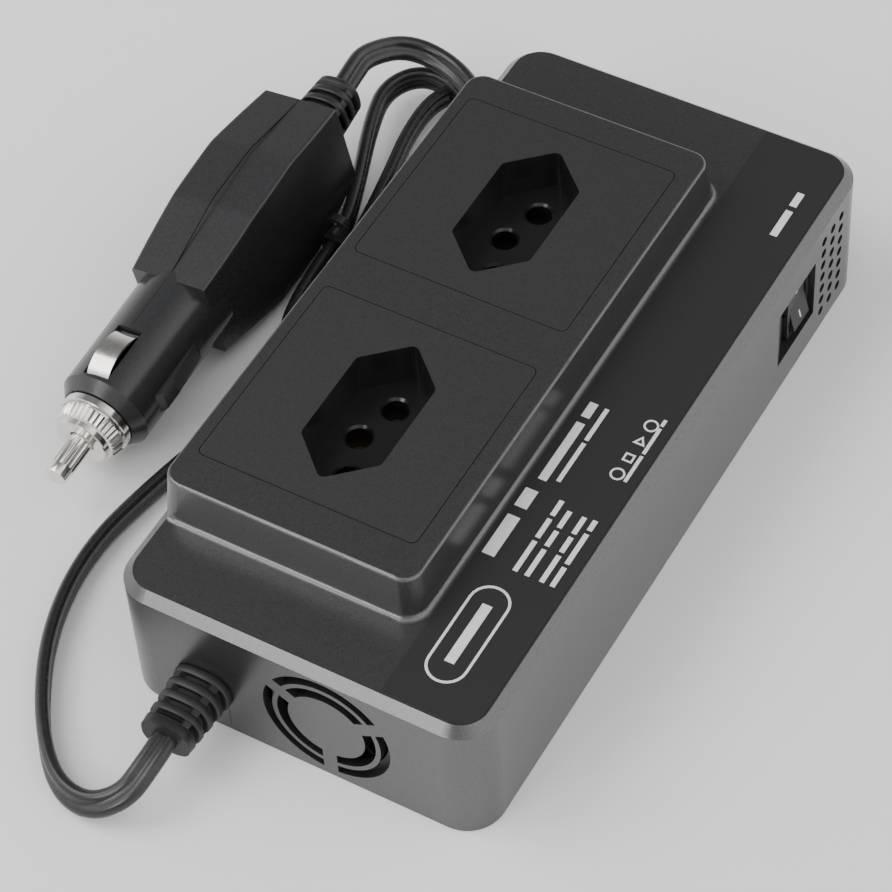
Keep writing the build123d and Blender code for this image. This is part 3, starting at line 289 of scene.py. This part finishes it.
# ---------------------------------------------------------------- the cord
# Millimetres here, turned to metres below. Each entry is a control point with the cord's tilt:
# 90 lays the two conductors side by side, 0 stands the cord on its edge.
CORD_WIDTH, CONDUCTOR_R = 5.6, 1.45
WAIST = 0.92                      # half the web between the two conductors
ARC_START, ARC_STEP, ARC_POINTS = -35, 25, 11
ROUTE = [
    (-21, -98.3, 12, 90), (-21, -105, 11.3, 90), (-22.8, -111.5, 7.5, 75), (-30, -115.3, 4, 40),
    (-40, -112, 2.9, 10), (-51, -99.5, 2.9, 0), (-60.5, -82, 2.9, 0), (-64.5, -62, 2.9, 0),
    (-61.5, -42, 2.9, 0), (-57, -23, 2.9, 0), (-54, -6, 2.9, 0),
    # first pass to the rear, its fold, and back along the casing
    (-55.5, 10, 3.0, 0), (-58.2, 25, 3.4, 0), (-58.4, 38, 3.8, 0), (-61.5, 56, 4, 0),
    (-64.6, 70, 4, 0), (-64.8, 82, 4, 0), (-60, 88.5, 4, 0), (-54.4, 84, 4, 0),
    (-52, 70, 4, 0), (-52.2, 52, 4, 0), (-52, 35, 4, 0), (-49.5, 18, 4, 0), (-47.2, 6, 4, 0),
    (-49.8, -1.2, 4, 0), (-55, 0, 4, 0),
    # second pass, outside the first
    (-59.8, 10, 4.2, 0), (-61.2, 24, 4.8, 0), (-61.2, 37, 5.6, 0), (-66.5, 52, 6, 0),
    (-72.4, 67, 6, -10), (-75.6, 79, 5.6, -10), (-70.5, 87.5, 5.4, -10), (-60, 86.0, 5.4, 0),
    (-51.5, 79.5, 5.2, 0), (-49, 66, 4.6, 0), (-49, 48, 4.2, 0), (-48.8, 34, 4.2, 0),
    (-46.2, 20, 4.2, 0), (-44.8, 9, 4.2, 0), (-48.5, 1.8, 6.5, 0), (-53, 4.5, 7, 0),
    # third pass, through the middle, over the folds and into the plug
    (-54.6, 18, 5.4, 0), (-55.2, 34, 4.4, 0), (-54.8, 48, 5.5, 0), (-54.0, 60, 10.5, 10),
    (-50.5, 70, 12.5, 20), (-50.8, 79.5, 12.5, 35), (-62, 86.8, 12.0, 45), (-73.5, 86.8, 13.8, 45),
    (-78.0, 76, 18.2, 45), (-77.2, 69, 19.2, 40), (-76.65, 62.7, 18.7, 40),
]


def twin_section():
    """Closed outline of the flat cord's section, taller than wide, as a curve to bevel with."""
    half = CORD_WIDTH / 2 - CONDUCTOR_R
    outline = []
    for side, start in ((1, ARC_START), (-1, ARC_START + 180)):
        for k in range(ARC_POINTS):
            angle = math.radians(start + ARC_STEP * k)
            outline.append((CONDUCTOR_R * math.cos(angle),
                            side * half + CONDUCTOR_R * math.sin(angle)))
        outline.append((-side * WAIST, 0))
    curve = bpy.data.curves.new("twin_section", "CURVE")
    curve.dimensions = "2D"
    spline = curve.splines.new("POLY")
    spline.points.add(len(outline) - 1)
    for point, (x, y) in zip(spline.points, outline):
        point.co = (x * MM, y * MM, 0, 1)
    spline.use_cyclic_u = True
    obj = bpy.data.objects.new("twin_section", curve)
    scene.collection.objects.link(obj)
    obj.hide_render = True
    return obj


cord_curve = bpy.data.curves.new("input_cord", "CURVE")
cord_curve.dimensions = "3D"
cord_curve.twist_mode = "Z_UP"
cord_curve.bevel_mode = "OBJECT"
cord_curve.bevel_object = twin_section()
cord_curve.use_fill_caps = True
cord_curve.resolution_u = 10
cord_spline = cord_curve.splines.new("NURBS")
cord_spline.points.add(len(ROUTE) - 1)
for point, (x, y, z, tilt) in zip(cord_spline.points, ROUTE):
    point.co = (x * MM, y * MM, z * MM, 1)
    point.tilt = math.radians(tilt)
cord_spline.order_u = 3
cord_spline.use_endpoint_u = True
cord = bpy.data.objects.new("input_cord", cord_curve)
scene.collection.objects.link(cord)
paint(cord, CORD)
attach(cord, "inverter")
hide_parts("cord_lead", "cord_hank", "cord_tail")

# ---------------------------------------------------------------- strain reliefs
SLOT_DEPTH = 0.2                  # share of the radius that a slot cuts away
SQUARENESS = 2.6                  # power of the section's superellipse, 2 being an ellipse
BRIDGE_HALF_ANGLE = 9
RING_ROUND, RING_EDGE = 0.18, 0.3
RELIEF_AROUND = 96
# Where the mesh is cut across: this far inside a ring's edges, inside a slot's edges, and back
# from the thin end. The last slot stops short of the end, and its painted shadow short of its
# walls.
EDGE_CUT, FLAT_CUT, SLOT_CUT = 0.02, 0.32, 0.12
END_CUTS = (0.5, 0.15, 0.02)
LAST_SLOT_SHORT, PAINT_SHORT = 0.2, 0.05


def relief(name, origin, axis, across, length, start, end, rings, pitch, ring_t, bridges, node):
    """A ribbed sleeve: full size on its rings and bridges, smaller in its slots, which are painted
    near-black as painted shadow.

    start and end give its width and height at each end, bridges the angles of its bridges.
    """
    axis, across = Vector(axis).normalized(), Vector(across).normalized()
    other = axis.cross(across)
    cuts = [0.0]
    for ring in range(rings):
        base = ring * pitch
        cuts += [base + EDGE_CUT, base + RING_ROUND, base + FLAT_CUT, base + ring_t - FLAT_CUT,
                 base + ring_t - RING_ROUND, base + ring_t, base + ring_t + SLOT_CUT,
                 base + pitch - SLOT_CUT, base + pitch]
    cuts += [rings * pitch + RING_EDGE] + [length - back for back in END_CUTS]
    cuts = [cut * MM for cut in cuts if cut < length]

    def off_bridge(degrees):
        return min(abs((degrees - b + 180) % 360 - 180) for b in bridges) > BRIDGE_HALF_ANGLE

    def place(ring, angle):
        station = cuts[ring] / MM
        share = min(1, max(0, station / length))
        wide = start[0] + (end[0] - start[0]) * share
        high = start[1] + (end[1] - start[1]) * share
        c, s = math.cos(angle), math.sin(angle)
        r = (abs(c / (wide / 2)) ** SQUARENESS
             + abs(s / (high / 2)) ** SQUARENESS) ** (-1 / SQUARENESS)
        along = station % pitch
        in_ring = along <= ring_t or station > rings * pitch - LAST_SLOT_SHORT
        if not in_ring and off_bridge(math.degrees(angle)):
            r *= 1 - SLOT_DEPTH
        elif in_ring:
            edge = min(along, ring_t - along) if along <= ring_t else 1
            r -= RING_ROUND * max(0, 1 - edge / RING_EDGE)
        return (Vector(origin) + axis * cuts[ring] + across * (r * c * MM)
                + other * (r * s * MM))

    obj = turned(name, place, len(cuts), RELIEF_AROUND, RELIEF, "inverter")
    # slot faces off the bridges take the near-black material: painted shadow in the slots
    paint(obj, RELIEF, SEAM_SHADOW)
    for face in obj.data.polygons:
        away = face.center - Vector(origin)
        station = away.dot(axis) / MM
        degrees = math.degrees(math.atan2(away.dot(other), away.dot(across)))
        in_slot = (station % pitch > ring_t + PAINT_SHORT
                   and station < rings * pitch - LAST_SLOT_SHORT)
        face.material_index = 1 if in_slot and off_bridge(degrees) else 0
    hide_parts(node)
    return obj


relief("gland_sleeve", (-0.021, -0.0841, 0.012), (0, -1, 0), (1, 0, 0), 14.4,
       (12.8, 10.4), (11.0, 8.6), 4, 3.1, 1.75, (45, 135, 225, 315), "cord_gland")

# plug frame, as the CAD sets it
PITCH, ROLL = math.radians(-3.7), math.radians(7.6)
PLUG_O = Vector((-0.0766, -0.0055, 0.01425))
PLUG_AXIS = Vector((0, -math.cos(PITCH), math.sin(PITCH)))
PLUG_UP = Vector((0, math.sin(PITCH), math.cos(PITCH)))
PLUG_X = Vector((1, 0, 0)) * math.cos(ROLL) + PLUG_UP * math.sin(ROLL)
PLUG_Y = PLUG_AXIS.cross(PLUG_X)


def plug_point(x, y, t):
    return PLUG_O + (PLUG_X * x + PLUG_Y * y + PLUG_AXIS * t) * MM


plug_relief = relief("plug_sleeve", plug_point(0, 0, -54.6), -PLUG_AXIS, PLUG_X, 13.6,
                     (12.2, 12.0), (10.4, 10.2), 4, 3.0, 1.7, (35, 145, 215, 325),
                     "plug_strain_relief")

# ---------------------------------------------------------------- seam of the plug's halves
SEAM_HALF, SEAM_PROUD, SEAM_SUNK = 0.11, 0.03, 0.3
HOUSING_SEAM = [(-0.2, 10.04), (-18.5, 14.07), (-20, 14.32), (-21.5, 14.4), (-34.2, 14.4),
                (-35.5, 14.34), (-36.8, 14.15), (-54.8, 10.74)]
BARREL_SEAM = [(0.3, 10.3), (13.6, 10.3)]


def seam(name, line):
    """A thin dark strip along the top of the plug, let into its surface."""
    verts = []
    for t, top in line:
        for x, y in ((-SEAM_HALF, -SEAM_SUNK), (SEAM_HALF, -SEAM_SUNK),
                     (SEAM_HALF, SEAM_PROUD), (-SEAM_HALF, SEAM_PROUD)):
            verts.append(plug_point(x, top + y, t))
    faces = [(3, 2, 1, 0)]
    for i in range(len(line) - 1):
        for k in range(4):
            n = (k + 1) % 4
            faces.append((4 * i + k, 4 * i + n, 4 * i + 4 + n, 4 * i + 4 + k))
    last = 4 * (len(line) - 1)
    faces.append((last, last + 1, last + 2, last + 3))
    return add_mesh(name, verts, faces, SEAM_SHADOW, "inverter", smooth=False)


seam("housing_seam", HOUSING_SEAM[::-1])
seam("barrel_seam", BARREL_SEAM)

# ---------------------------------------------------------------- nickel nose
NOSE_PROFILE = [(31.75, 6.8), (31.8, 7.7), (32.0, 8.0), (33.5, 8.0), (33.7, 7.8), (33.8, 7.1),
                (34.1, 7.05), (34.3, 7.5), (34.5, 7.75), (36.9, 7.1), (37.1, 6.7), (37.2, 6.3),
                (37.3, 6.15), (38.5, 6.0), (38.7, 5.8), (38.72, 3.2), (38.3, 2.75), (33.0, 2.7)]
KNURL_FROM, KNURL_TO, KNURLS, KNURL_DEPTH = 34.4, 37.0, 40, 0.42


def lathe(name, profile, ribbed, ribs, depth, mat, body, around):
    """A turned piece on the plug's axis. Between the two places in ribbed it has fine ribs."""
    def place(ring, angle):
        t, r = profile[ring]
        if ribbed[0] < t < ribbed[1]:
            r -= depth * (0.5 + 0.5 * math.cos(ribs * angle))
        return plug_point(r * math.cos(angle), r * math.sin(angle), t)
    return turned(name, place, len(profile), around, mat, body)


nose = lathe("nose_ring", NOSE_PROFILE, (KNURL_FROM, KNURL_TO), KNURLS, KNURL_DEPTH, NICKEL,
             "inverter", 240)
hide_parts("plug_nose_ring")

TIP_PROFILE = [(35.6, 4.7), (36.9, 4.7), (37.0, 2.55), (38.9, 2.55), (39.2, 2.6), (45.6, 2.6),
               (45.9, 2.45), (46.3, 2.42), (47.9, 2.42), (48.4, 2.2), (48.65, 1.7)]
FLUTE_FROM, FLUTE_TO, FLUTES, FLUTE_DEPTH = 39.0, 45.7, 12, 0.32
tip = lathe("tip_pin", TIP_PROFILE, (FLUTE_FROM, FLUTE_TO), FLUTES, FLUTE_DEPTH, NICKEL,
            "plug_tip", 144)
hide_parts("plug_tip")

# ---------------------------------------------------------------- label graphics
FILM_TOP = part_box("label_panel")[1][2]
INK = 0.05
ROCKER_X, ROCKER_Y, ROCKER_Z, ROCKER_TILT = 38.0, 55.1, 16.1, math.radians(8)
ROCKER_MID, ROCKER_RISE = 1.3, 0.6 / 5.9


def on_film(x, y, height):
    return x * MM, y * MM, FILM_TOP + height * MM


def on_rocker(across, along, height):
    """A point on the rocker's hollow face, measured from its pivot."""
    out = ROCKER_MID + ROCKER_RISE * abs(along) + height
    return ((ROCKER_X + out * math.cos(ROCKER_TILT) - along * math.sin(ROCKER_TILT)) * MM,
            (ROCKER_Y + across) * MM,
            (ROCKER_Z + out * math.sin(ROCKER_TILT) + along * math.cos(ROCKER_TILT)) * MM)


def flat_shape(outlines, place):
    """Thin closed prisms on a face. Each outline is a ring of (x, y) in millimetres."""
    verts, faces = [], []
    for ring in outlines:
        first, n = len(verts), len(ring)
        verts += [place(x, y, 0) for x, y in ring]
        verts += [place(x, y, INK) for x, y in ring]
        faces.append(tuple(first + n + k for k in range(n)))
        faces.append(tuple(first + n - 1 - k for k in range(n)))
        faces += [(first + k, first + (k + 1) % n, first + n + (k + 1) % n, first + n + k)
                  for k in range(n)]
    return verts, faces


def bar(x, y, width, length):
    """A bar that is centred across on x and runs from y along the casing."""
    return [(x - width / 2, y), (x + width / 2, y), (x + width / 2, y + length),
            (x - width / 2, y + length)]


LETTER_SHARE, BAR_SHARE, GAP_SHARE = 0.6, 0.62, 0.55


def words(x, y0, y1, height, low, high):
    """A line of print, as plain bars the length of words."""
    made, y = [], y0
    while y1 - y > height:
        length = min(height * LETTER_SHARE * random.randint(low, high), y1 - y)
        made.append(bar(x, y, height * BAR_SHARE, length))
        y += length + height * GAP_SHARE
    return made


END_STEPS = 12


def stadium(x, y0, y1, r, line):
    """Quads of a rounded outline, drawn as a thin line."""
    def ring(radius):
        pts = []
        for y, start in ((y0, math.pi), (y1, 0)):
            for k in range(END_STEPS + 1):
                angle = start + math.pi * k / END_STEPS
                pts.append((x + radius * math.cos(angle), y + radius * math.sin(angle)))
        return pts
    outer, inner = ring(r), ring(r - line)
    n = len(outer)
    return [[outer[k], outer[(k + 1) % n], inner[(k + 1) % n], inner[k]] for k in range(n)]


def outline_shape(x, y, r, line, sides, turn):
    """Quads of a ring, square or triangle drawn as a thin line."""
    def ring(radius):
        spots = [math.radians(turn + 360 * k / sides) for k in range(sides)]
        return [(x + radius * math.cos(a), y + radius * math.sin(a)) for a in spots]
    outer, inner = ring(r), ring(r - line / math.cos(math.pi / sides))
    return [[outer[k], outer[(k + 1) % sides], inner[(k + 1) % sides], inner[k]]
            for k in range(sides)]


# A line of print: its place across, its start and end along the casing, the height of its
# letters, and its shortest and longest word in letters.
BADGE_LINE = (27.0, -70.0, -55.0, 3.4, 9, 9)
HEADING_LINES = [(21.1, -44.4, -26.5, 4.4, 4, 4), (21.6, -23.5, -1.6, 3.0, 9, 9),
                 (24.6, -22.4, -1.8, 1.5, 12, 12)]
ICON_LINE = (36.2, -16.5, 1.0, 1.2, 8, 10)
SWITCH_LINE = (33.2, 55.2, 68.6, 2.6, 5, 5)
SMALL_LINES_X, SMALL_START, SMALL_SHORTEST, SMALL_LONGEST = (27.6, 30.2, 33.4, 35.7), -45.5, 17, 24
ICON_SHAPES = ((24, 0), (4, 45), (3, 90), (24, 0))          # sides, and turn in degrees
ICON_X, ICON_Y, ICON_DRIFT, ICON_PITCH, ICON_R, ICON_LINE_W = 34.0, -15.4, 0.1, 4.6, 1.55, 0.4

print_rings = stadium(27.0, -70.6, -54.6, 4.3, 0.55)
for line in [BADGE_LINE] + HEADING_LINES:
    print_rings += words(*line)
for line_x in SMALL_LINES_X:
    line_end = SMALL_START + random.uniform(SMALL_SHORTEST, SMALL_LONGEST)
    print_rings += words(line_x, SMALL_START, line_end, 1.7, 4, 8)
for icon, (sides, turn) in enumerate(ICON_SHAPES):
    print_rings += outline_shape(ICON_X + ICON_DRIFT * icon, ICON_Y + ICON_PITCH * icon,
                                 ICON_R, ICON_LINE_W, sides, turn)
for line in (ICON_LINE, SWITCH_LINE):
    print_rings += words(*line)
marks = add_mesh("label_print", *flat_shape(print_rings, on_film), MARKS, "inverter", smooth=False)
rocker_rings = [bar(0, -4.6, 0.45, 1.9)] + outline_shape(0, 3.4, 1.0, 0.35, 24, 0)
rocker_marks = add_mesh("rocker_print", *flat_shape(rocker_rings, on_rocker), MARKS,
                        "power_rocker", smooth=False)
